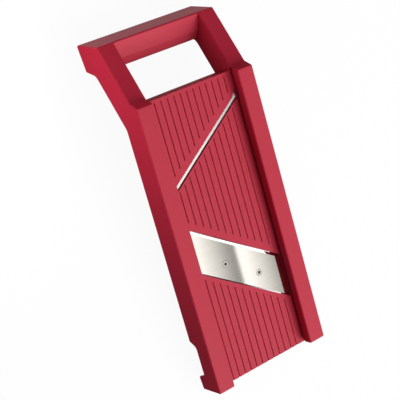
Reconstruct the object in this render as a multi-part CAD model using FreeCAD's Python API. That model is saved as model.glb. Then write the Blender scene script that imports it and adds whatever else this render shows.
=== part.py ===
import FreeCAD, Part
import math
import os

# Hand slicer with two slanted blades, in millimetres.
# It is drawn flat on its table: X runs across, Y from the lower end to the handle, Z square to the table,
# with Z = 0 at the front of the two rails. The finished pieces are then tipped on to their feet.

Vector = FreeCAD.Vector
UP = Vector(0, 0, 1)

# Body: rails, table and handle
body_width = 130.0
rail_width = 17.5
rail_length = 275.0
rail_depth = 28.0
rail_front_wall = 3.5
rail_outer_wall = 3.0
rail_inner_wall = 5.0
rail_rib = 2.0
rail_pockets = 6
rail_end_wall = 4.0
rail_end_slope = 4.4
corner_round = 1.5
edge_break = 0.8
table_drop = 12.5
table_thickness = 3.0
table_rib = 2.0
table_rib_depth = 6.0
end_wall = 3.0
upper_wall_depth = 16.5
lower_wall_depth = 9.0
bend_before_end = 19.5
bend_angle = 27.5
handle_thickness = 27.3
handle_reach = 57.0
block_end_lean = 3.7
block_length = 25.5
block_inner_round = 9.0
crossbar_lip = 16.7
crossbar_lip_slope = 22.5
crossbar_step = 0.8
crossbar_inset = 24.5
crossbar_inner_drop = 13.6
crossbar_wall = 4.0
crossbar_rib = 3.0
crossbar_pockets = 6

# Feet and the notches that hook over the rim of a bowl
foot_drop = 27.2
foot_length = 12.8
rest_tilt = 7.7
notch_length = 36.4
notch_depth = 8.3
notch_slope = 5.0
notch_round = 4.0

# Guide grooves for a food holder, in the inner walls of the rails
guide_height = 3.9
guide_depth = 2.0
guide_entry_length = 25.0
guide_entry_height = 7.0

# Grooves along the table
groove_count = 12
groove_pitch = 7.15
groove_width = 1.3
groove_depth = 0.8
groove_end_margin = 2.8
groove_to_fine_blade = 9.0
groove_after_throat = 1.5
groove_to_main_blade = 7.5
groove_after_main_blade = 5.0

# Main blade
blade_angle = 34.0
main_edge_y = 123.5
main_blade_width = 34.4
main_blade_thickness = 1.0
blade_side_gap = 3.5
main_bevel = 2.2
main_edge_height = 0.15
slice_thickness = 1.5
blade_front_gap = 0.8
blade_rear_gap = 1.0
screw_line_offset = 3.6
screw_spacing = 40.0
adjuster_x = 2.2
blade_screw_shank = 4.5
blade_screw_length = 5.0
blade_screw_socket = 2.6
blade_screw_socket_depth = 0.9
insert_diameter = 6.4

# Blade carrier and its guides
carrier_front = 14.0
carrier_rear_margin = 1.4
carrier_chamfer = 3.0
carrier_thickness = 5.0
carrier_end_gap = 2.0
carrier_boss_diameter = 14.0
carrier_boss_height = 3.2
pin_spacing = 62.0
pin_diameter = 4.0
pin_length = 20.0
pin_cover = 0.4
bush_diameter = 7.0
bush_flange_diameter = 10.0
bush_flange_height = 1.2

# Rear bridge
bridge_thickness = 4.0
bridge_width = 20.0
bridge_side_gap = 0.6
bridge_pad_length = 8.5
bridge_screw_edge = 4.3
bridge_screw_length = 10.0

# Adjusting spindle, knob and what holds them
thread_diameter = 5.0
spindle_tip_gap = 0.7
nut_diameter = 10.0
nut_length = 6.0
thread_relief = 0.5
journal_diameter = 6.0
collar_diameter = 10.0
collar_height = 0.95
washer_diameter = 11.0
washer_thickness = 0.8
washer_gap = 0.05
clip_diameter = 10.0
clip_thickness = 0.75
clip_gap = 0.15
clip_groove_diameter = 5.0
clip_mouth = 3.6
spindle_shoulder = 0.5
knob_seat_flat = 0.6
knob_diameter = 28.0
knob_height = 7.4
knob_floor = 1.9
knob_scallops = 8
knob_scallop_diameter = 8.0
knob_scallop_depth = 2.0
knob_screw_diameter = 3.0
knob_screw_length = 5.0
knob_screw_head = 5.6
knob_screw_head_height = 1.6
knob_screw_head_gap = 0.3
knob_screw_grip = 0.3

# Fine blade and its clamp
fine_from_top = 55.8
fine_edge_height = 0.8
fine_incline = 20.0
fine_blade_width = 13.8
fine_blade_thickness = 1.0
fine_bevel = 1.7
fine_throat = 2.0
fine_end_gap = 0.6
fine_tip_width = 6.0
fine_tip_depth = 4.0
fine_pad_depth = 7.0
fine_pad_width = 22.0
clamp_nose = 4.0
clamp_nose_height = 1.8
clamp_plate = 2.5
clamp_margin = 0.5
clamp_side_gap = 11.5
clamp_screw_spacing = 40.0
clamp_screw_length = 7.0

# Small pan head screws and fits
small_screw_diameter = 3.0
small_screw_head = 5.5
small_screw_head_height = 1.9
small_screw_slot = 0.9
small_screw_slot_depth = 0.8
screw_tip_room = 0.5
seat_gap = 0.05
running_gap = 0.05

# Sizes worked out from the ones above
half_width = body_width / 2
channel = half_width - rail_width
bend_y = rail_length - bend_before_end
handle_end_y = rail_length + handle_reach
fine_edge_y = rail_length - fine_from_top
table_rib_y = (main_edge_y + fine_edge_y - table_rib) / 2
table_top = -table_drop
table_bottom = table_top - table_thickness
slant = math.radians(blade_angle)
blade_top = table_top + slice_thickness
blade_bottom = blade_top - main_blade_thickness
screw_line = main_blade_width / 2 + screw_line_offset
blade_screw_head = blade_screw_shank + 2 * main_blade_thickness
carrier_rear = main_blade_width - carrier_rear_margin
carrier_bottom = blade_bottom - carrier_thickness
bridge_bottom = -rail_depth
bridge_top = bridge_bottom + bridge_thickness
spindle_top = blade_bottom - slice_thickness - spindle_tip_gap
clip_top = bridge_bottom - clip_gap
clip_bottom = clip_top - clip_thickness
knob_top = clip_bottom - spindle_shoulder
knob_bottom = knob_top - knob_height
screw_seat = knob_bottom + knob_floor
seat_bottom = screw_seat + knob_screw_grip

# Cutters run past the faces that they open, and solids that are fused run into each other, by this much
past = 1.0
# Sections are swept this far, and then cut to length
beyond = 200.0

# Directions in the table's plane: along each blade, and square to it
main_along = Vector(math.cos(slant), -math.sin(slant), 0)
main_behind = Vector(-math.sin(slant), -math.cos(slant), 0)
fine_along = Vector(math.cos(slant), math.sin(slant), 0)
fine_ahead = Vector(math.sin(slant), -math.cos(slant), 0)
main_edge = Vector(0, main_edge_y, 0)
fine_edge = Vector(0, fine_edge_y, table_top)
screw_row = main_edge + main_behind * screw_line
adjuster = screw_row + main_along * ((adjuster_x - screw_row.x) / main_along.x)


# Shared shapes

def rounded_wire(corners):
    """Closed wire through (point, radius) corners, each rounded by its own radius."""
    runs = []
    for index, (corner, radius) in enumerate(corners):
        before = (corners[index - 1][0] - corner).normalize()
        after = (corners[(index + 1) % len(corners)][0] - corner).normalize()
        half = before.getAngle(after) / 2
        reach = radius / math.tan(half)
        inward = (before + after).normalize()
        middle = corner + inward * (radius / math.sin(half) - radius)
        runs.append((corner + before * reach, middle, corner + after * reach, radius))
    edges = []
    for index, (start, middle, end, radius) in enumerate(runs):
        if radius > 0:
            edges.append(Part.Arc(start, middle, end).toShape())
        following = runs[(index + 1) % len(runs)][0]
        if end.distanceToPoint(following) > 1e-6:
            edges.append(Part.LineSegment(end, following).toShape())
    return Part.Wire(edges)


def prism(corners, direction):
    """Solid swept straight from a rounded outline."""
    return Part.Face(rounded_wire(corners)).extrude(direction)


def side_prism(points, x_from, x_to):
    """Solid with a side outline of (y, z, radius) points, between two X planes."""
    corners = [(Vector(x_from, y, z), radius) for y, z, radius in points]
    return prism(corners, Vector(x_to - x_from, 0, 0))


def slanted_prism(points, origin, across, along):
    """Solid with a section of (across, height) points, swept far both ways along a slanted line."""
    start = origin - along * beyond
    corners = [(start + across * reach + UP * height, 0) for reach, height in points]
    return prism(corners, along * (2 * beyond))


def slab(x_from, x_to, y_from, y_to, z_from, z_to):
    return Part.makeBox(x_to - x_from, y_to - y_from, z_to - z_from, Vector(x_from, y_from, z_from))


def across_slab(half_span):
    """Everything between two planes parallel to the rails."""
    return slab(-half_span, half_span, -beyond, 3 * beyond, -beyond, beyond)


def post(centre, diameter, z_from, z_to):
    """Upright round bar on a point of the table's plane."""
    return Part.makeCylinder(diameter / 2, z_to - z_from, Vector(centre.x, centre.y, z_from))


def softened(solid):
    """Breaks the edges of both flat sides of a rail and its handle bar."""
    edges = [edge for edge in solid.Edges if edge.BoundBox.XLength < edge_break]
    return solid.makeChamfer(edge_break, edges)


def turned(centre, steps):
    """Solid of revolution about an upright line, from (diameter, z) steps going up."""
    points = [Vector(0, 0, steps[0][1])]
    points += [Vector(diameter / 2, 0, z) for diameter, z in steps]
    points += [Vector(0, 0, steps[-1][1]), points[0]]
    solid = Part.Face(Part.makePolygon(points)).revolve(Vector(), UP, 360)
    return solid.translate(Vector(centre.x, centre.y, 0))


def pan_screw(centre, seat, length):
    """Slotted pan head screw driven upwards, its head below the seat."""
    foot = seat - small_screw_head_height
    steps = [(small_screw_head, foot), (small_screw_head, seat),
             (small_screw_diameter, seat), (small_screw_diameter, seat + length)]
    slot = slab(-small_screw_head, small_screw_head, -small_screw_slot / 2, small_screw_slot / 2,
                foot - past, foot + small_screw_slot_depth)
    return turned(centre, steps).cut(slot.translate(Vector(centre.x, centre.y, 0)))


def screw_hole(centre, seat, length):
    """Pilot hole for a pan head screw, with room at its tip."""
    return post(centre, small_screw_diameter + 2 * seat_gap, seat - past, seat + length + screw_tip_room)


# Where the fasteners and guides sit

def along_main(offset):
    """Point on the line of the blade's screws, counted along it from the adjuster."""
    return adjuster + main_along * offset


def blade_screw_places():
    return [along_main(side * screw_spacing / 2) for side in (-1, 1)]


def pin_places():
    return [along_main(side * pin_spacing / 2) for side in (-1, 1)]


def bridge_screw_places():
    """One at each end of the bridge, in line with the adjuster."""
    ends = [side * (channel - bridge_screw_edge) for side in (-1, 1)]
    return [along_main((x - adjuster.x) / main_along.x) for x in ends]


def clamp_screw_places():
    line = fine_edge - fine_ahead * ((fine_pad_width + fine_blade_width) / 2)
    base = line + fine_along * (-line.x / fine_along.x)
    return [base + fine_along * (side * clamp_screw_spacing / 2) for side in (-1, 1)]


# Body moulding

def rest_height(y):
    """Height of the plane that the slicer stands on."""
    return -foot_drop - math.tan(math.radians(rest_tilt)) * y


def handle_front(y):
    """Front line of the handle bars."""
    bend = math.radians(bend_angle)
    return -rail_depth + handle_thickness / math.cos(bend) - math.tan(bend) * (y - bend_y)


def handle_rear(y):
    return -rail_depth - math.tan(math.radians(bend_angle)) * (y - bend_y)


def block_end():
    """Lower outer corner of the handle's end block."""
    y = handle_end_y + block_end_lean
    return y, rest_height(y)


def side_outline():
    """Side view of a rail, its notch and foot, the handle bar and the end block."""
    end_y, end_z = block_end()
    inner_y = end_y - block_length
    notch_end = foot_length + notch_length
    nose_y = rail_length + rail_end_slope
    return [
        (0, 0, corner_round),
        (rail_length, 0, corner_round),
        (nose_y, handle_front(nose_y), 0),
        (handle_end_y, handle_front(handle_end_y), corner_round),
        (end_y, end_z, corner_round),
        (inner_y, rest_height(inner_y), 0),
        (inner_y - block_inner_round / 2, handle_rear(inner_y - block_inner_round / 2), block_inner_round),
        (bend_y, -rail_depth, block_inner_round),
        (notch_end, -rail_depth, 0),
        (notch_end - notch_slope, -rail_depth + notch_depth, notch_round),
        (foot_length + notch_slope / 2, -rail_depth + notch_depth, notch_round),
        (foot_length, rest_height(foot_length), 0),
        (0, -foot_drop, 0),
    ]


def crossbar_outline():
    """Section of the grip's crossbar between the handle bars."""
    end_y, end_z = block_end()
    top_z = handle_front(handle_end_y)
    lip_y = handle_end_y - crossbar_lip
    lip_z = top_z - crossbar_lip * math.tan(math.radians(crossbar_lip_slope))
    inner_y = handle_end_y - crossbar_inset
    inner_bottom = end_y - block_length
    return [
        (handle_end_y, top_z, corner_round),
        (end_y, end_z, corner_round),
        (inner_bottom, rest_height(inner_bottom), corner_round),
        (inner_y, top_z - crossbar_inner_drop, corner_round),
        (lip_y, lip_z - crossbar_step, 0),
        (lip_y, lip_z, 0),
    ]


def crossbar_core():
    """Section of the pockets that hollow the end block from below."""
    end_y, end_z = block_end()
    top_z = handle_front(handle_end_y)
    inner_bottom = end_y - block_length + crossbar_wall
    drop = crossbar_lip * math.tan(math.radians(crossbar_lip_slope))
    return [
        (handle_end_y - crossbar_wall, top_z - 1.5 * crossbar_wall, 0),
        (end_y - crossbar_wall, end_z - crossbar_wall, 0),
        (inner_bottom, end_z - crossbar_wall, 0),
        (inner_bottom, top_z - drop - 2 * crossbar_wall, 0),
        (handle_end_y - crossbar_lip, top_z - drop - 1.5 * crossbar_wall, 0),
    ]


def rail_cores(side):
    """Pockets that hollow a rail from behind, with cross ribs left between them."""
    length = (bend_y - 2 * rail_end_wall - (rail_pockets - 1) * rail_rib) / rail_pockets
    inner = channel + rail_inner_wall
    outer = half_width - rail_outer_wall
    low, high = sorted((side * inner, side * outer))
    starts = [rail_end_wall + index * (length + rail_rib) for index in range(rail_pockets)]
    return [slab(low, high, start, start + length, -2 * rail_depth, -rail_front_wall) for start in starts]


def handle_cores():
    """Pockets in the end block, with cross ribs left between them."""
    span = body_width - 2 * crossbar_wall
    width = (span - (crossbar_pockets - 1) * crossbar_rib) / crossbar_pockets
    cores = []
    for index in range(crossbar_pockets):
        x = -span / 2 + index * (width + crossbar_rib)
        cores.append(side_prism(crossbar_core(), x, x + width))
    return cores


def guide_grooves(side):
    """Undercut along the foot of a rail's inner wall, with a higher entry near the handle."""
    low, high = sorted((side * (channel - past), side * (channel + guide_depth)))
    groove = slab(low, high, -past, rail_length + end_wall, table_top, table_top + guide_height)
    entry = slab(low, high, rail_length - guide_entry_length, rail_length + end_wall,
                 table_top, table_top + guide_entry_height)
    return [groove, entry]


def table_grooves():
    """Fine grooves along the table, which stop short of both blades."""
    cuts = []
    slope = math.tan(slant)
    square = math.cos(slant)
    for index in range(groove_count):
        x = (index - (groove_count - 1) / 2) * groove_pitch
        fine_y = fine_edge_y + slope * x
        main_y = main_edge_y - slope * x
        stretches = [
            (fine_y + groove_to_fine_blade / square, rail_length - groove_end_margin),
            (main_y + groove_to_main_blade / square,
             fine_y - (fine_throat + groove_after_throat) / square),
            (-past, main_y - (main_blade_width + groove_after_main_blade) / square),
        ]
        for start, stop in stretches:
            if stop - start > groove_width:
                cuts.append(slab(x - groove_width / 2, x + groove_width / 2, start, stop,
                                 table_top - groove_depth, table_top + past))
    return cuts


def fine_blade_line(reach):
    """Height over the table of the fine blade's upper face, ahead of its edge by reach."""
    return fine_edge_height + math.tan(math.radians(fine_incline)) * reach


def fine_mouth():
    """Reach at which the fine blade's upper face comes out of the table."""
    return -fine_edge_height / math.tan(math.radians(fine_incline))


def fine_section():
    """Section of the fine blade: upper face, square back, lower face and ground bevel."""
    tilt = math.radians(fine_incline)
    back = -fine_blade_width * math.cos(tilt)
    back_z = fine_blade_line(back)
    bevel = -fine_bevel
    return [
        (0, fine_blade_line(0)),
        (back, back_z),
        (back + fine_blade_thickness * math.sin(tilt), back_z - fine_blade_thickness * math.cos(tilt)),
        (bevel, fine_blade_line(bevel) - fine_blade_thickness / math.cos(tilt)),
    ]


def fine_pad_section():
    """Section of the pad under the table that the fine blade seats against."""
    back = -fine_blade_width * math.cos(math.radians(fine_incline)) - seat_gap
    return [
        (fine_mouth(), 0),
        (-fine_pad_width, 0),
        (-fine_pad_width, -fine_pad_depth),
        (back, -fine_pad_depth),
        (back, fine_blade_line(back)),
    ]


def fine_slot_section():
    """Section of the opening in the table under the fine blade's edge."""
    return [
        (fine_mouth(), 0),
        (fine_throat, 0),
        (fine_throat, -2 * table_thickness),
        (-fine_pad_width / 2, -2 * table_thickness),
        (-fine_pad_width / 2, fine_blade_line(-fine_pad_width / 2)),
    ]


def fine_tip_relief():
    """Corner of the table over the right end of the fine blade, whose removal bares the blade's tip."""
    section = [(0, fine_blade_line(0)), (-fine_pad_width, fine_blade_line(-fine_pad_width)),
               (-fine_pad_width, table_drop), (0, table_drop)]
    above = slanted_prism(section, fine_edge, fine_ahead, fine_along)
    mouth = fine_edge + fine_ahead * fine_mouth()
    start = mouth + fine_along * ((channel - fine_tip_width - mouth.x) / fine_along.x)
    stop = mouth + fine_along * ((channel - mouth.x) / fine_along.x)
    plan = [start, stop, stop + Vector(0, fine_tip_depth, 0)]
    corners = [(corner - UP * rail_depth, 0) for corner in plan]
    return prism(corners, UP * (2 * rail_depth)).common(above)


def bridge_pads():
    """Pads on the rails' inner walls that the bridge is screwed to."""
    front = screw_line - bridge_width / 2
    section = [(front, table_bottom), (front, bridge_top),
               (front + bridge_width, bridge_top), (front + bridge_width, table_bottom)]
    bar = slanted_prism(section, main_edge, main_behind, main_along)
    return [bar.common(slab(*sorted((side * (channel - bridge_pad_length), side * (channel + past))),
                            0, rail_length, -rail_depth, 0)) for side in (-1, 1)]


def make_body():
    span = channel + past
    solids = [softened(side_prism(side_outline(), side * channel, side * half_width)) for side in (-1, 1)]
    solids.append(side_prism(crossbar_outline(), -span, span))
    solids.append(slab(-span, span, 0, rail_length, table_bottom, table_top))
    solids.append(slab(-span, span, rail_length - end_wall, rail_length,
                       table_top - upper_wall_depth, table_top))
    solids.append(slab(-span, span, 0, end_wall, table_top - lower_wall_depth, table_top))
    solids.append(slab(-span, span, table_rib_y, table_rib_y + table_rib,
                       table_bottom - table_rib_depth, table_bottom))
    pad = slanted_prism(fine_pad_section(), fine_edge, fine_ahead, fine_along)
    solids.append(pad.common(slab(-span, span, 0, rail_length, -rail_depth, 0)))
    body = solids[0].multiFuse(solids[1:])

    room = across_slab(channel)
    slot = slanted_prism(fine_slot_section(), fine_edge, fine_ahead, fine_along).common(room)
    blade_hole = [(-blade_front_gap, table_top + past), (-blade_front_gap, table_bottom - past),
                  (main_blade_width + blade_rear_gap, table_bottom - past),
                  (main_blade_width + blade_rear_gap, table_top + past)]
    opening = slanted_prism(blade_hole, main_edge, main_behind, main_along).common(room)
    cuts = [slot, fine_tip_relief(), opening]
    cuts += table_grooves()
    cuts += handle_cores()
    for side in (-1, 1):
        cuts += rail_cores(side)
        cuts += guide_grooves(side)
    body = body.cut(cuts)
    body = body.multiFuse(bridge_pads())
    holes = [screw_hole(place, bridge_top, bridge_screw_length - bridge_thickness)
             for place in bridge_screw_places()]
    holes += [screw_hole(place, table_top - fine_pad_depth, clamp_screw_length - clamp_plate)
              for place in clamp_screw_places()]
    return body.cut(holes).removeSplitter()


# Fine blade and clamp

def make_fine_blade():
    blade = slanted_prism(fine_section(), fine_edge, fine_ahead, fine_along)
    return blade.common(across_slab(channel - fine_end_gap))


def make_fine_blade_clamp():
    """Bar with a sloped nose under the blade and a flat flange under the pad."""
    tilt = math.radians(fine_incline)
    thickness = fine_blade_thickness / math.cos(tilt)
    back = -fine_blade_width * math.cos(tilt) + fine_blade_thickness * math.sin(tilt)
    heel = -fine_blade_width * math.cos(tilt) - clamp_margin
    far = -fine_pad_width + clamp_margin
    nose_z = fine_blade_line(-clamp_nose) - thickness
    back_z = fine_blade_line(back) - thickness
    flange = -fine_pad_depth
    section = [(-clamp_nose, nose_z), (back, back_z), (back, flange), (heel, flange), (far, flange),
               (far, flange - clamp_plate), (heel, flange - clamp_plate),
               (-clamp_nose, nose_z - clamp_nose_height)]
    bar = slanted_prism(section, fine_edge, fine_ahead, fine_along)
    bar = bar.common(across_slab(channel - clamp_side_gap))
    holes = [post(place, small_screw_diameter + 2 * seat_gap, -rail_depth, 0)
             for place in clamp_screw_places()]
    return bar.cut(holes).removeSplitter()


def make_fine_blade_screws():
    seat = table_top - fine_pad_depth - clamp_plate
    return Part.makeCompound([pan_screw(place, seat, clamp_screw_length)
                              for place in clamp_screw_places()])


# Main blade and its carrier

def make_main_blade():
    section = [(0, blade_bottom), (main_blade_width, blade_bottom), (main_blade_width, blade_top),
               (main_bevel, blade_top), (0, blade_bottom + main_edge_height)]
    blade = slanted_prism(section, main_edge, main_behind, main_along)
    sinks = []
    for place in blade_screw_places():
        narrow = blade_screw_shank + 2 * seat_gap
        wide = blade_screw_head + 2 * seat_gap
        sinks.append(turned(place, [(narrow, blade_bottom), (wide, blade_top)]))
    return blade.common(across_slab(channel - blade_side_gap)).cut(sinks)


def make_blade_screws():
    """Countersunk screws with a hexagon socket."""
    screws = []
    for place in blade_screw_places():
        body = turned(place, [(blade_screw_shank, blade_bottom - blade_screw_length),
                              (blade_screw_shank, blade_bottom), (blade_screw_head, blade_top)])
        corners = []
        for step in range(6):
            turn = math.radians(60 * step)
            reach = blade_screw_socket / math.sqrt(3)
            corners.append((Vector(place.x + reach * math.cos(turn), place.y + reach * math.sin(turn),
                                   blade_top - blade_screw_socket_depth), 0))
        screws.append(body.cut(prism(corners, UP * main_blade_thickness)))
    return Part.makeCompound(screws)


def make_blade_inserts():
    rings = []
    for place in blade_screw_places():
        ring = post(place, insert_diameter, carrier_bottom, blade_bottom)
        rings.append(ring.cut(post(place, blade_screw_shank + 2 * seat_gap, carrier_bottom, blade_bottom)))
    return Part.makeCompound(rings)


def make_blade_carrier():
    section = [(carrier_front, blade_bottom), (carrier_rear, blade_bottom), (carrier_rear, carrier_bottom),
               (carrier_front + carrier_chamfer, carrier_bottom)]
    bar = slanted_prism(section, main_edge, main_behind, main_along)
    bar = bar.common(across_slab(channel - bridge_pad_length - carrier_end_gap))
    nut_bottom = carrier_bottom - carrier_boss_height
    carrier = bar.fuse(post(adjuster, carrier_boss_diameter, nut_bottom, blade_bottom - past))
    holes = [post(adjuster, nut_diameter + 2 * seat_gap, nut_bottom, nut_bottom + nut_length),
             post(adjuster, thread_diameter + 2 * thread_relief, nut_bottom, blade_bottom)]
    holes += [post(place, insert_diameter + 2 * seat_gap, carrier_bottom, blade_bottom)
              for place in blade_screw_places()]
    holes += [post(place, pin_diameter + 2 * seat_gap, carrier_bottom, blade_bottom - pin_cover)
              for place in pin_places()]
    return carrier.cut(holes).removeSplitter()


def make_guide_pins():
    top = blade_bottom - pin_cover
    return Part.makeCompound([post(place, pin_diameter, top - pin_length, top) for place in pin_places()])


def make_spindle_nut():
    bottom = carrier_bottom - carrier_boss_height
    nut = post(adjuster, nut_diameter, bottom, bottom + nut_length)
    return nut.cut(post(adjuster, thread_diameter + 2 * running_gap, bottom, bottom + nut_length))


# Rear bridge and adjuster

def make_rear_bridge():
    front = screw_line - bridge_width / 2
    section = [(front, bridge_top), (front + bridge_width, bridge_top),
               (front + bridge_width, bridge_bottom), (front, bridge_bottom)]
    bar = slanted_prism(section, main_edge, main_behind, main_along)
    bar = bar.common(across_slab(channel - bridge_side_gap))
    holes = [post(adjuster, journal_diameter + 2 * running_gap, bridge_bottom, bridge_top)]
    holes += [post(place, bush_diameter + 2 * seat_gap, bridge_bottom, bridge_top)
              for place in pin_places()]
    holes += [post(place, small_screw_diameter + 2 * seat_gap, bridge_bottom, bridge_top)
              for place in bridge_screw_places()]
    return bar.cut(holes)


def make_bridge_screws():
    return Part.makeCompound([pan_screw(place, bridge_bottom, bridge_screw_length)
                              for place in bridge_screw_places()])


def make_guide_bushes():
    bushes = []
    for place in pin_places():
        top = bridge_top + bush_flange_height
        bush = turned(place, [(bush_diameter, bridge_bottom), (bush_diameter, bridge_top),
                              (bush_flange_diameter, bridge_top), (bush_flange_diameter, top)])
        bushes.append(bush.cut(post(place, pin_diameter + 2 * running_gap, bridge_bottom, top)))
    return Part.makeCompound(bushes)


def make_thrust_washer():
    top = bridge_top + washer_thickness
    return post(adjuster, washer_diameter, bridge_top, top).cut(
        post(adjuster, journal_diameter + 2 * running_gap, bridge_top, top))


def knob_seat(extra):
    """Round seat with one flat, between spindle and knob."""
    diameter = thread_diameter + 2 * extra
    flat = thread_diameter / 2 - knob_seat_flat + extra
    seat = post(adjuster, diameter, seat_bottom, knob_top)
    keep = slab(-diameter, flat, -diameter, diameter, knob_bottom, knob_top)
    return seat.common(keep.translate(Vector(adjuster.x, adjuster.y, 0)))


def make_adjusting_spindle():
    collar_bottom = bridge_top + washer_thickness + washer_gap
    collar_top = collar_bottom + collar_height
    steps = [(journal_diameter, knob_top), (journal_diameter, clip_bottom),
             (clip_groove_diameter, clip_bottom), (clip_groove_diameter, clip_top),
             (journal_diameter, clip_top), (journal_diameter, collar_bottom),
             (collar_diameter, collar_bottom), (collar_diameter, collar_top),
             (thread_diameter, collar_top), (thread_diameter, spindle_top)]
    spindle = turned(adjuster, steps).fuse(knob_seat(0))
    hole = post(adjuster, knob_screw_diameter + 2 * seat_gap, knob_bottom,
                screw_seat + knob_screw_length + screw_tip_room)
    return spindle.cut(hole).removeSplitter()


def make_retaining_clip():
    ring = post(adjuster, clip_diameter, clip_bottom, clip_top)
    hole = post(adjuster, clip_groove_diameter + 2 * seat_gap, clip_bottom, clip_top)
    mouth = slab(-clip_mouth / 2, clip_mouth / 2, 0, clip_diameter, clip_bottom, clip_top)
    return ring.cut([hole, mouth.translate(Vector(adjuster.x, adjuster.y, 0))])


def make_adjusting_knob():
    """Scalloped disc with a flatted seat for the spindle and a counterbore for its screw."""
    knob = post(adjuster, knob_diameter, knob_bottom, knob_top)
    reach = (knob_diameter + knob_scallop_diameter) / 2 - knob_scallop_depth
    cuts = [knob_seat(seat_gap),
            post(adjuster, knob_screw_head + 2 * knob_screw_head_gap, knob_bottom, screw_seat),
            post(adjuster, knob_screw_diameter + 2 * seat_gap, knob_bottom, knob_top)]
    for index in range(knob_scallops):
        turn = 2 * math.pi * index / knob_scallops
        rim = Vector(math.cos(turn), math.sin(turn), 0) * reach
        cuts.append(post(adjuster + rim, knob_scallop_diameter, knob_bottom, knob_top))
    return knob.cut(cuts)


def make_knob_screw():
    """Slotted screw whose head clamps the knob to the spindle's seat."""
    foot = screw_seat - knob_screw_head_height
    screw = turned(adjuster, [(knob_screw_head, foot), (knob_screw_head, screw_seat),
                              (knob_screw_diameter, screw_seat),
                              (knob_screw_diameter, screw_seat + knob_screw_length)])
    slot = slab(-knob_screw_head, knob_screw_head, -small_screw_slot / 2, small_screw_slot / 2,
                foot, foot + small_screw_slot_depth)
    return screw.cut(slot.translate(Vector(adjuster.x, adjuster.y, 0)))


pieces = {
    "body_moulding": make_body(),
    "fine_blade": make_fine_blade(),
    "fine_blade_clamp": make_fine_blade_clamp(),
    "fine_blade_screws": make_fine_blade_screws(),
    "main_blade": make_main_blade(),
    "blade_screws": make_blade_screws(),
    "blade_inserts": make_blade_inserts(),
    "blade_carrier": make_blade_carrier(),
    "guide_pins": make_guide_pins(),
    "spindle_nut": make_spindle_nut(),
    "rear_bridge": make_rear_bridge(),
    "bridge_screws": make_bridge_screws(),
    "guide_bushes": make_guide_bushes(),
    "thrust_washer": make_thrust_washer(),
    "adjusting_spindle": make_adjusting_spindle(),
    "retaining_clip": make_retaining_clip(),
    "adjusting_knob": make_adjusting_knob(),
    "knob_screw": make_knob_screw(),
}

# Tip the slicer on to its feet and end block, with the origin at the middle of what it stands on
tip = FreeCAD.Placement(Vector(), FreeCAD.Rotation(Vector(1, 0, 0), rest_tilt))
box = pieces["body_moulding"].transformGeometry(tip.toMatrix()).optimalBoundingBox(False)
stand = FreeCAD.Placement(Vector(0, -box.Center.y, -box.ZMin), FreeCAD.Rotation()) * tip

os.makedirs("parts", exist_ok=True)
for name, piece in pieces.items():
    placed = piece.transformed(stand.toMatrix(), True)
    placed.exportStep("parts/" + name + ".step")
    print(name, "solids", len(placed.Solids), "valid", placed.isValid(), "volume", round(placed.Volume, 1))

axis = stand.Rotation.multVec(UP)
print("adjuster axis through", stand.multVec(adjuster), "along", axis)
print("overall", box.XLength, box.YLength, box.ZLength)
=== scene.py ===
# %% [markdown]
# # A hand slicer with two slanted blades
#
# The solids of this slicer come from a CAD model, at their real size. This lesson dresses them: it sets
# the camera and the light of a product photograph, and then gives each piece the finish of its real
# material. Everything is in metres, in the CAD model's own frame: X runs across the slicer, Y from its
# lower end to its handle, and Z up from the surface that it stands on.

# %% Load the solids
import math
import bpy
from mathutils import Matrix, Vector


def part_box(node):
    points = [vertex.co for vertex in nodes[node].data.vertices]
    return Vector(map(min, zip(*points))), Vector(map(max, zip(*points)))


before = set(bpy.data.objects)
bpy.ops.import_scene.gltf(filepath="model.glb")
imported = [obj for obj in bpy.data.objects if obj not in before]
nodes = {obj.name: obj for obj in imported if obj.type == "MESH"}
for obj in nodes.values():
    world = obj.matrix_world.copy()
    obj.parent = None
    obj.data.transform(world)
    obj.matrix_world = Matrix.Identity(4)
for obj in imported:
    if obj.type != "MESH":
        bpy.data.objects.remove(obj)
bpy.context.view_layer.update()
scene = bpy.context.scene
scene.view_settings.view_transform = "Standard"

# %% [markdown]
# ## Camera
#
# The photograph looks down on the table from the left, from about a metre away, with the slicer turned
# so that its handle points to the upper left. A long lens keeps the rails almost parallel. The place,
# the point that it looks at and the direction that is up in the picture say all of that in three
# vectors, which is easier to read and to change than three rotation angles.

# %% Set up the camera
CAMERA_PLACE = Vector((-0.5652, 0.1471, 0.9548))
CAMERA_AIM = Vector((-0.0223, 0.0034, 0.0400))
PICTURE_UP = Vector((0.3582, 0.9313, 0.0662))
LENS_MM = 106.7
SENSOR_MM = 36.0


def placed(place, right, up, back):
    """Matrix that puts an object at a place, with its X, Y and Z axes along right, up and back."""
    return Matrix.Translation(place) @ Matrix((right, up, back)).transposed().to_4x4()


camera_data = bpy.data.cameras.new("camera")
camera_data.lens = LENS_MM
camera_data.sensor_width = SENSOR_MM
camera = bpy.data.objects.new("camera", camera_data)
scene.collection.objects.link(camera)
scene.camera = camera

forward = (CAMERA_AIM - CAMERA_PLACE).normalized()
right = forward.cross(PICTURE_UP).normalized()
camera.matrix_world = placed(CAMERA_PLACE, right, right.cross(forward), -forward)
print("camera looks along", forward)

# %% [markdown]
# ## Node helper and colours
#
# A material is a small network of nodes. One function adds a node, sets its values and links its
# inputs, so that each material below reads as a list of what it is made of. Colours are written as the
# hex values that a colour picker shows, and one function turns them into the linear values that the
# shader works with.

# %% Node helper
def add(tree, kind, settings=None, links=None):
    """Adds a node. Settings are its properties or input values, links lead other outputs to its inputs."""
    node = tree.nodes.new(kind)
    for key, value in (settings or {}).items():
        if isinstance(key, str) and hasattr(node, key):
            setattr(node, key, value)
        else:
            node.inputs[key].default_value = value
    for key, socket in (links or {}).items():
        tree.links.new(socket, node.inputs[key])
    return node


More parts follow.
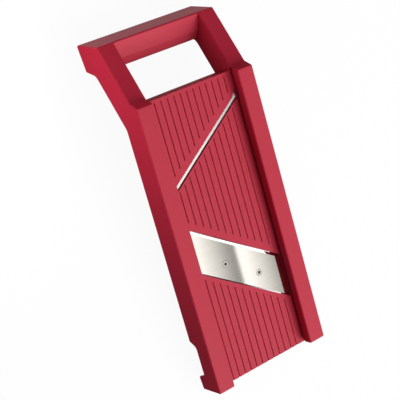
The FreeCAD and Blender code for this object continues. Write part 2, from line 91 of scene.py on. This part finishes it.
def colour(hex_code):
    """Linear colour of an sRGB hex code such as #A01828."""
    channels = [int(hex_code[i:i + 2], 16) / 255 for i in (1, 3, 5)]
    linear = [c / 12.92 if c <= 0.04045 else ((c + 0.055) / 1.055) ** 2.4 for c in channels]
    return (*linear, 1.0)


def new_material(name):
    """An empty node material, with its tree and its output node."""
    material = bpy.data.materials.new(name)
    material.use_nodes = True
    tree = material.node_tree
    tree.nodes.clear()
    return material, tree, add(tree, "ShaderNodeOutputMaterial")


print("mid grey is", colour("#808080"))

# %% [markdown]
# ## Floor
#
# The photograph has a white background, and a wide white floor stands for it. It could be a backdrop
# lit by lamps of its own, but those would light the slicer too. So most of its white is a glow that
# only the camera, mirrors and glass see. The rest is matt paint that the lamps light, which keeps the
# slicer's faint shadow. For light that bounces on to the slicer the paint is greyer, so that the shaded
# sides stay deep. Below the table, where a real floor lies in the slicer's shadow, the glow fades out
# in a soft oval.

# %% Floor mesh
FLOOR_SIZE = 60.0
FLOOR_LEVEL = -0.0001

half = FLOOR_SIZE / 2
floor_mesh = bpy.data.meshes.new("floor")
corners = [(-half, -half), (half, -half), (half, half), (-half, half)]
floor_mesh.from_pydata([(x, y, FLOOR_LEVEL) for x, y in corners], [], [(0, 1, 2, 3)])
floor = bpy.data.objects.new("floor", floor_mesh)
scene.collection.objects.link(floor)
print("floor", FLOOR_SIZE, "m square")

# %% Floor paint
FLOOR_GLOW = 0.94
FLOOR_SEEN = "#F4F4F4"
FLOOR_BOUNCE = "#A0A0A0"
UNDER_MIDDLE = (0, -0.0775, 0)
UNDER_REACH = (0.055, 0.095, 1.0)
UNDER_CORE = 0.3


def beside_table(tree):
    """Value of 0 in the middle of an oval on the floor below the table, that rises to 1 at its rim."""
    place = add(tree, "ShaderNodeTexCoord")
    offset = add(tree, "ShaderNodeVectorMath", {"operation": "SUBTRACT", 1: UNDER_MIDDLE},
                 {0: place.outputs["Object"]})
    offset = add(tree, "ShaderNodeVectorMath", {"operation": "DIVIDE", 1: UNDER_REACH},
                 {0: offset.outputs[0]})
    distance = add(tree, "ShaderNodeVectorMath", {"operation": "LENGTH"}, {0: offset.outputs[0]})
    ramp = add(tree, "ShaderNodeMapRange",
               {"interpolation_type": "SMOOTHSTEP", "From Min": UNDER_CORE, "From Max": 1.0},
               {"Value": distance.outputs["Value"]})
    return ramp.outputs[0]


floor_paint, tree, output = new_material("white studio floor")
glow = add(tree, "ShaderNodeEmission", {"Color": colour("#FFFFFF"), "Strength": 1.0})
path = add(tree, "ShaderNodeLightPath")
seen = add(tree, "ShaderNodeMath", {"operation": "MAXIMUM"},
           {0: path.outputs["Is Camera Ray"], 1: path.outputs["Is Glossy Ray"]})
seen = add(tree, "ShaderNodeMath", {"operation": "MAXIMUM"},
           {0: seen.outputs[0], 1: path.outputs["Is Transmission Ray"]})
paint = add(tree, "ShaderNodeMix", {"data_type": "RGBA", 6: colour(FLOOR_BOUNCE), 7: colour(FLOOR_SEEN)},
            {0: seen.outputs[0]})
lit = add(tree, "ShaderNodeBsdfDiffuse", links={"Color": paint.outputs[2]})
share = add(tree, "ShaderNodeMath", {"operation": "MULTIPLY", 1: FLOOR_GLOW}, {0: seen.outputs[0]})
share = add(tree, "ShaderNodeMath", {"operation": "MULTIPLY"},
            {0: share.outputs[0], 1: beside_table(tree)})
mixed = add(tree, "ShaderNodeMixShader", links={0: share.outputs[0], 1: lit.outputs[0], 2: glow.outputs[0]})
tree.links.new(mixed.outputs[0], output.inputs["Surface"])
floor_mesh.materials.append(floor_paint)
print("floor paint:", floor_paint.name)

# %% [markdown]
# ## Lamps
#
# The table and the grip's crossbar are pale in the photograph, while the handle's front, which leans
# back, is deep red. So the light comes from the front. A large soft box there is the key, far enough
# away to light both ends of the table about alike. A smaller box at the right fills in, and a low panel
# near the handle lights the left side. The rest is for the steel, which shows only what it mirrors: a
# panel overhead for the fine blade, and one at the right for the main blade's ground bevel. A soft box
# is given by its brightness, and its power follows from its area, so it looks as bright in a mirror
# when its size changes.

# %% Soft boxes
UPWARDS = Vector((0, 0, 1))
MIDDLE = (0, 0, 0.04)
HANDLE_WALL = (-0.06, 0.16, 0.04)


def fade_across(lamp_data, fade):
    """Lets a lamp's brightness go from one value to another along its width."""
    lamp_data.use_nodes = True
    tree = lamp_data.node_tree
    spot = add(tree, "ShaderNodeNewGeometry")
    split = add(tree, "ShaderNodeSeparateXYZ", links={0: spot.outputs["Parametric"]})
    ramp = add(tree, "ShaderNodeMapRange", {"To Min": fade[0], "To Max": fade[1]},
               {"Value": split.outputs[0]})
    tree.links.new(ramp.outputs[0], tree.nodes["Emission"].inputs["Strength"])


def soft_box(name, place, aim, size, brightness, side=None):
    """Area lamp at a place, turned to a point, with its width level or along side. Returns its data."""
    data = bpy.data.lights.new(name, "AREA")
    data.shape = "RECTANGLE"
    data.size, data.size_y = size
    data.energy = brightness * math.pi * size[0] * size[1]
    lamp = bpy.data.objects.new(name, data)
    scene.collection.objects.link(lamp)
    lamp.visible_camera = False
    back = (Vector(place) - Vector(aim)).normalized()
    width_line = UPWARDS.cross(back) if side is None else side
    width_line = (width_line - back * width_line.dot(back)).normalized()
    lamp.matrix_world = placed(Vector(place), width_line, back.cross(width_line), back)
    return data


soft_box("key soft box", place=(1.25, -4.75, 3.57), aim=MIDDLE, size=(4.25, 4.25), brightness=6.8)
soft_box("right soft box", place=(0.6, 0, 1.2), aim=MIDDLE, size=(0.5, 0.5), brightness=1.9)
soft_box("low left panel", place=(-0.25, 0.18, 0.05), aim=HANDLE_WALL, size=(0.2, 0.08), brightness=6.5)
soft_box("overhead panel", place=(0.2, 0.14, 1.25), aim=MIDDLE, size=(0.3, 0.3), brightness=2.5)
soft_box("bevel panel", place=(1.1, 0.1, 0.78), aim=MIDDLE, size=(0.5, 0.4), brightness=2.5)

# %% [markdown]
# ## Strips for the main blade
#
# The main blade shows two bands that fade from white to grey. They could be painted, but then they
# would stay where they are when the view changes, so two fading strips are hung where the blade mirrors
# them: along the camera's line of sight, turned over at the blade as by a mirror.

# %% Strips for the main blade
TABLE_TILT = math.radians(7.7)
STRIP_DISTANCE = 0.45
STRIP_WIDTH = 0.06
STRIP_LENGTH = 0.5
STRIP_FADE = (2.0, 0.05)

table_normal = Vector((0, -math.sin(TABLE_TILT), math.cos(TABLE_TILT)))
rail_line = Vector((0, math.cos(TABLE_TILT), math.sin(TABLE_TILT)))
blade_low, blade_high = (Vector(corner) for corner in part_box("main_blade"))
blade_middle = (blade_low + blade_high) / 2
sight = (CAMERA_PLACE - blade_middle).normalized()
mirrored = table_normal * (2 * sight.dot(table_normal)) - sight
across = rail_line.cross(mirrored).normalized()
for number, offset in enumerate((-0.5, 0.5)):
    place = blade_middle + mirrored * STRIP_DISTANCE + across * (offset * STRIP_WIDTH)
    strip = soft_box("blade strip %d" % number, place, aim=place - mirrored,
                     size=(STRIP_WIDTH, STRIP_LENGTH), brightness=1.0, side=across)
    fade_across(strip, STRIP_FADE)
print("the blade mirrors what lies along", mirrored)

# %% [markdown]
# ## Room light
#
# The room is brighter in front of the slicer than behind it. A picture of a studio could light it, but
# a direction's brightness only has to follow how far it points to the front, so one product of two
# vectors and one ramp make the whole room.

# %% Room light
FRONT = (0.35, -0.9, 0.25)
FRONT_RANGE = (-0.3, 1.0)
SKY_BEHIND = 0.16
SKY_FRONT = 0.24

world = bpy.data.worlds.new("studio")
scene.world = world
world.use_nodes = True
tree = world.node_tree
view = add(tree, "ShaderNodeTexCoord")
facing = add(tree, "ShaderNodeVectorMath", {"operation": "DOT_PRODUCT", 1: FRONT},
             {0: view.outputs["Generated"]})
ramp = add(tree, "ShaderNodeMapRange", {"From Min": FRONT_RANGE[0], "From Max": FRONT_RANGE[1],
                                        "To Min": SKY_BEHIND, "To Max": SKY_FRONT},
           {"Value": facing.outputs["Value"]})
background = tree.nodes["Background"]
background.inputs["Color"].default_value = colour("#FFFFFF")
tree.links.new(ramp.outputs[0], background.inputs["Strength"])
print("sky from", SKY_BEHIND, "to", SKY_FRONT)

# %% [markdown]
# ## Hollows and edges
#
# Used things are paler on their edges. Their hollows are painted darker, as shade, since little light
# reaches into them. Both could be painted by hand, but the shape itself tells where they are. Rays that
# meet something close by mark a hollow. A normal that is rounded off over a small radius differs from
# the true one only beside an edge, and that difference marks the edge.

# %% Masks
MM = 0.001
EDGE_STARTS = 0.99
EDGE_FULL = 0.75


def open_mask(tree, reach_mm):
    """Value of 1 on an open surface, that falls in a groove or an inner corner."""
    return add(tree, "ShaderNodeAmbientOcclusion", {"samples": 8, "Distance": reach_mm * MM}).outputs["AO"]


def edge_mask(tree, radius_mm, strength):
    """Value that rises from 0 on a flat to strength beside an edge."""
    soft = add(tree, "ShaderNodeBevel", {"samples": 4, "Radius": radius_mm * MM})
    true = add(tree, "ShaderNodeNewGeometry")
    same = add(tree, "ShaderNodeVectorMath", {"operation": "DOT_PRODUCT"},
               {0: soft.outputs[0], 1: true.outputs["Normal"]})
    ramp = add(tree, "ShaderNodeMapRange",
               {"From Min": EDGE_STARTS, "From Max": EDGE_FULL, "To Max": strength},
               {"Value": same.outputs["Value"]})
    return ramp.outputs[0]


print("edges are marked where the normals' product falls from", EDGE_STARTS, "to", EDGE_FULL)

# %% [markdown]
# ## Moulded red ABS
#
# The body is one injection moulding in red ABS. Slow noise varies its colour a little, as pigment does
# where the melt flowed. Grooves and inner corners are painted a deeper red as shade, and the outer edges,
# which hands and bowls rub, are slightly paler. The mould leaves a fine grain, about a tenth of a
# millimetre. That is too fine to show in the picture, so it is drawn at half a millimetre.

# %% Colour of the ABS
ABS_REDS = ("#B42338", "#BC2940")
# painted shade: the deeper red of grooves and inner corners, where little light reaches
ABS_HOLLOW_SHADE = "#8E1222"
ABS_RUBBED = "#D4606C"
RUB_RADIUS_MM = 0.7
RUB_STRENGTH = 0.3
RUB_OPENNESS = 0.8


def abs_colour(tree, flow, bare):
    """Red that varies with the melt's flow, with painted shade in hollows and paler outer edges."""
    tint = add(tree, "ShaderNodeMix", {"data_type": "RGBA", 6: colour(ABS_REDS[0]), 7: colour(ABS_REDS[1])},
               {0: flow})
    shaded = add(tree, "ShaderNodeMix", {"data_type": "RGBA", 6: colour(ABS_HOLLOW_SHADE)},
                 {0: bare, 7: tint.outputs[2]})
    outer = add(tree, "ShaderNodeMapRange", {"From Min": RUB_OPENNESS}, {"Value": bare})
    rub = add(tree, "ShaderNodeMath", {"operation": "MULTIPLY"},
              {0: edge_mask(tree, RUB_RADIUS_MM, RUB_STRENGTH), 1: outer.outputs[0]})
    worn = add(tree, "ShaderNodeMix", {"data_type": "RGBA", 7: colour(ABS_RUBBED)},
               {0: rub.outputs[0], 6: shaded.outputs[2]})
    return worn.outputs[2]


print("ABS reds:", ABS_REDS, "hollows:", ABS_HOLLOW_SHADE, "edges:", ABS_RUBBED)

# %% [markdown]
# A mould can be polished in one place and left matt in another. Here the faces that look up from the
# table, and the handle's end face, have a soft sheen, while the side walls and the handle's front are
# matt and so keep their deep red. A face's direction chooses between the two, and a limit along Y keeps
# the second polish to the handle's end.

# %% Sheen of the ABS
TABLE_SIDE = (0, -0.45, 0.89)
HANDLE_SIDE = (0, 1, 0)
HANDLE_END_Y = 0.15
SHEEN_STARTS = 0.55
SHEEN_FULL = 0.9
MATT_LEVEL = 0.02
SHEEN_LEVEL = 0.25


def facing_side(tree, side):
    """Value of 1 on a face that looks to a side, and of 0 on one square to it."""
    true = add(tree, "ShaderNodeNewGeometry")
    return add(tree, "ShaderNodeVectorMath", {"operation": "DOT_PRODUCT", 1: side},
               {0: true.outputs["Normal"]}).outputs["Value"]


def abs_sheen(tree, place, bare):
    """Strength of the reflection: soft on polished faces, slight on the others and weaker in hollows."""
    spot = add(tree, "ShaderNodeSeparateXYZ", links={0: place})
    at_end = add(tree, "ShaderNodeMath", {"operation": "GREATER_THAN", 1: HANDLE_END_Y},
                 {0: spot.outputs[1]})
    end_face = add(tree, "ShaderNodeMath", {"operation": "MULTIPLY"},
                   {0: facing_side(tree, HANDLE_SIDE), 1: at_end.outputs[0]})
    facing = add(tree, "ShaderNodeMath", {"operation": "MAXIMUM"},
                 {0: facing_side(tree, TABLE_SIDE), 1: end_face.outputs[0]})
    polish = add(tree, "ShaderNodeMapRange", {"From Min": SHEEN_STARTS, "From Max": SHEEN_FULL,
                                              "To Min": MATT_LEVEL, "To Max": SHEEN_LEVEL},
                 {"Value": facing.outputs[0]})
    sheen = add(tree, "ShaderNodeMath", {"operation": "MULTIPLY"}, {0: polish.outputs[0], 1: bare})
    return sheen.outputs[0]


print("sheen from", MATT_LEVEL, "to", SHEEN_LEVEL)

# %% Red ABS
FLOW_MM = 40
GRAIN_MM = 0.5
GRAIN_HEIGHT_MM = 0.1
ABS_GRAIN = 0.12
ABS_HOLLOW_REACH_MM = 2.0
ABS_ROUGHNESS = (0.52, 0.6)
ABS_IOR = 1.53


def red_abs():
    """Moulded ABS with its flow, its grain and its two degrees of polish."""
    material, tree, output = new_material("moulded red ABS")
    place = add(tree, "ShaderNodeTexCoord").outputs["Object"]
    flow = add(tree, "ShaderNodeTexNoise", {"Scale": 1 / (FLOW_MM * MM), "Detail": 3.0},
               {"Vector": place})
    grain = add(tree, "ShaderNodeTexNoise", {"Scale": 1 / (GRAIN_MM * MM), "Detail": 2.0},
                {"Vector": place})
    bare = open_mask(tree, ABS_HOLLOW_REACH_MM)
    gloss = add(tree, "ShaderNodeMapRange", {"To Min": ABS_ROUGHNESS[0], "To Max": ABS_ROUGHNESS[1]},
                {"Value": flow.outputs[0]})
    bump = add(tree, "ShaderNodeBump", {"Strength": ABS_GRAIN, "Distance": GRAIN_HEIGHT_MM * MM},
               {"Height": grain.outputs[0]})
    shader = add(tree, "ShaderNodeBsdfPrincipled", {"IOR": ABS_IOR},
                 {"Base Color": abs_colour(tree, flow.outputs[0], bare), "Roughness": gloss.outputs[0],
                  "Normal": bump.outputs[0], "Specular IOR Level": abs_sheen(tree, place, bare)})
    tree.links.new(shader.outputs[0], output.inputs["Surface"])
    return material


red = red_abs()
print("made", red.name)

# %% [markdown]
# ## Steel and brass
#
# The blades are ground and brushed stainless strip. Real brush lines are a few hundredths of a
# millimetre apart, too fine to show, so they are drawn at 2.5 mm, as faint streaks in tint and gloss.
# The fine blade's lines run along its edge, the other pieces' lines across the slicer. A metal's colour
# is the tint of what it mirrors, and its IOR stays at the default. Hollows, such as a screw's socket,
# turn dark with painted shade. Where a rim is given, so does a line along the edges: on the blade's
# screws for the thin gap round their heads, which is too narrow to show at its real width, and on the
# fine blade as painted shadow along its edges.

# %% Brushed and turned metal
LINE_LENGTH_MM = 120
LINE_WIDTH_MM = 2.5
GLOSS_SPREAD = 0.03
# painted shade: the dark colour of hollows such as a screw's socket
METAL_HOLLOW_SHADE = "#141312"
METAL_HOLLOW_REACH_MM = 2.5
HOLLOW_FULL = 0.55
HOLLOW_STARTS = 0.95
RIM_MM = 0.5


def metal_openness(tree, rim):
    """Value of 0 in a hollow or, where a rim is given, on an edge, and of 1 elsewhere."""
    bare = add(tree, "ShaderNodeMapRange", {"From Min": HOLLOW_FULL, "From Max": HOLLOW_STARTS},
               {"Value": open_mask(tree, METAL_HOLLOW_REACH_MM)})
    if rim:
        bare = add(tree, "ShaderNodeMath", {"operation": "SUBTRACT", "use_clamp": True},
                   {0: bare.outputs[0], 1: edge_mask(tree, RIM_MM, rim)})
    return bare.outputs[0]


def brushed_metal(name, hex_low, hex_high, roughness, turn=0.0, rim=0.0):
    """Metal with brush lines turned from X by an angle, and a dark rim of some strength."""
    material, tree, output = new_material(name)
    place = add(tree, "ShaderNodeTexCoord")
    scale = (LINE_LENGTH_MM * MM, LINE_WIDTH_MM * MM, LINE_WIDTH_MM * MM)
    lines = add(tree, "ShaderNodeMapping",
                {"vector_type": "TEXTURE", "Rotation": (0, 0, turn), "Scale": scale},
                {"Vector": place.outputs["Object"]})
    streak = add(tree, "ShaderNodeTexNoise", {"Scale": 1.0, "Detail": 1.0}, {"Vector": lines.outputs[0]})
    tint = add(tree, "ShaderNodeMix", {"data_type": "RGBA", 6: colour(hex_low), 7: colour(hex_high)},
               {0: streak.outputs[0]})
    shaded = add(tree, "ShaderNodeMix", {"data_type": "RGBA", 6: colour(METAL_HOLLOW_SHADE)},
                 {0: metal_openness(tree, rim), 7: tint.outputs[2]})
    gloss = add(tree, "ShaderNodeMapRange", {"To Min": (1 - GLOSS_SPREAD) * roughness,
                                             "To Max": (1 + GLOSS_SPREAD) * roughness},
                {"Value": streak.outputs[0]})
    shader = add(tree, "ShaderNodeBsdfPrincipled", {"Metallic": 1.0},
                 {"Base Color": shaded.outputs[2], "Roughness": gloss.outputs[0]})
    tree.links.new(shader.outputs[0], output.inputs["Surface"])
    return material


print("brush lines", LINE_WIDTH_MM, "mm wide")

# %% Metals of this slicer
FINE_BLADE_SLANT = math.radians(34)
fine_turn = math.atan2(math.sin(FINE_BLADE_SLANT) * math.cos(TABLE_TILT), math.cos(FINE_BLADE_SLANT))

main_steel = brushed_metal("brushed stainless steel, main blade", "#C2BDB5", "#CAC6BF", roughness=0.06)
# the fine blade's dark rim is a painted shadow along its edges
fine_steel = brushed_metal("brushed stainless steel, fine blade", "#DAD8D4", "#E4E2DE", roughness=0.25,
                           turn=fine_turn, rim=1.5)
plated_steel = brushed_metal("turned plated steel", "#A9A8A6", "#C2C1BF", roughness=0.32)
screw_steel = brushed_metal("stainless steel, blade screws", "#B5B1AA", "#BFBBB4", roughness=0.16, rim=2.5)
turned_brass = brushed_metal("turned brass", "#B08D4C", "#C9A560", roughness=0.3)
print("made", [metal.name for metal in (main_steel, fine_steel, plated_steel, screw_steel, turned_brass)])

# %% [markdown]
# ## Plain moulded plastics
#
# The mechanism below the table is black nylon and white acetal. Both are moulded with a matt skin, so
# one function makes them, with the colours, the roughness and the grain of each. Like the body's, the
# grain is drawn coarser than a real mould's, so that it shows.

# %% Moulded plastics
PLASTIC_IOR = 1.5
PLASTIC_GRAIN = 0.2
PLASTIC_ROUGHNESS_SPREAD = 0.07
PLASTIC_RUB_MM = 0.4
PLASTIC_RUB = 0.5


def moulded_plastic(name, hex_low, hex_high, hex_edge, roughness, grain_mm):
    """Matt plastic whose grain varies its tint, its gloss and its height, with paler edges."""
    material, tree, output = new_material(name)
    place = add(tree, "ShaderNodeTexCoord")
    grain = add(tree, "ShaderNodeTexNoise", {"Scale": 1 / (grain_mm * MM), "Detail": 4.0},
                {"Vector": place.outputs["Object"]})
    tint = add(tree, "ShaderNodeMix", {"data_type": "RGBA", 6: colour(hex_low), 7: colour(hex_high)},
               {0: grain.outputs[0]})
    worn = add(tree, "ShaderNodeMix", {"data_type": "RGBA", 7: colour(hex_edge)},
               {0: edge_mask(tree, PLASTIC_RUB_MM, PLASTIC_RUB), 6: tint.outputs[2]})
    gloss = add(tree, "ShaderNodeMapRange", {"To Min": roughness - PLASTIC_ROUGHNESS_SPREAD,
                                             "To Max": roughness + PLASTIC_ROUGHNESS_SPREAD},
                {"Value": grain.outputs[0]})
    bump = add(tree, "ShaderNodeBump", {"Strength": PLASTIC_GRAIN, "Distance": GRAIN_HEIGHT_MM * MM},
               {"Height": grain.outputs[0]})
    shader = add(tree, "ShaderNodeBsdfPrincipled", {"IOR": PLASTIC_IOR},
                 {"Base Color": worn.outputs[2], "Roughness": gloss.outputs[0], "Normal": bump.outputs[0]})
    tree.links.new(shader.outputs[0], output.inputs["Surface"])
    return material


black_nylon = moulded_plastic("moulded black nylon", "#161617", "#232325", "#3C3C3E",
                              roughness=0.55, grain_mm=0.6)
white_acetal = moulded_plastic("moulded white acetal", "#D8D5CC", "#E6E3DB", "#F0EEE8",
                               roughness=0.4, grain_mm=1.5)
print("made", black_nylon.name, "and", white_acetal.name)

# %% [markdown]
# ## Finishes
#
# Each piece takes the finish of its real material. What cuts or fastens is steel, threads that have to
# last in plastic are brass, bars and the knob are stiff nylon, and what has to slide is acetal, which
# needs no grease. One table of names keeps the choice in one place, where it is easy to change.

# %% Give every piece its finish
FINISHES = {
    "body_moulding": red,
    "main_blade": main_steel,
    "fine_blade": fine_steel,
    "blade_screws": screw_steel,
    "guide_pins": plated_steel,
    "bridge_screws": plated_steel,
    "fine_blade_screws": plated_steel,
    "adjusting_spindle": plated_steel,
    "retaining_clip": plated_steel,
    "knob_screw": plated_steel,
    "blade_inserts": turned_brass,
    "spindle_nut": turned_brass,
    "blade_carrier": black_nylon,
    "rear_bridge": black_nylon,
    "fine_blade_clamp": black_nylon,
    "adjusting_knob": black_nylon,
    "guide_bushes": white_acetal,
    "thrust_washer": white_acetal,
}
for name, material in FINISHES.items():
    mesh = nodes[name].data
    mesh.materials.clear()
    mesh.materials.append(material)
print("finished pieces:", len(FINISHES), "of", len(nodes))
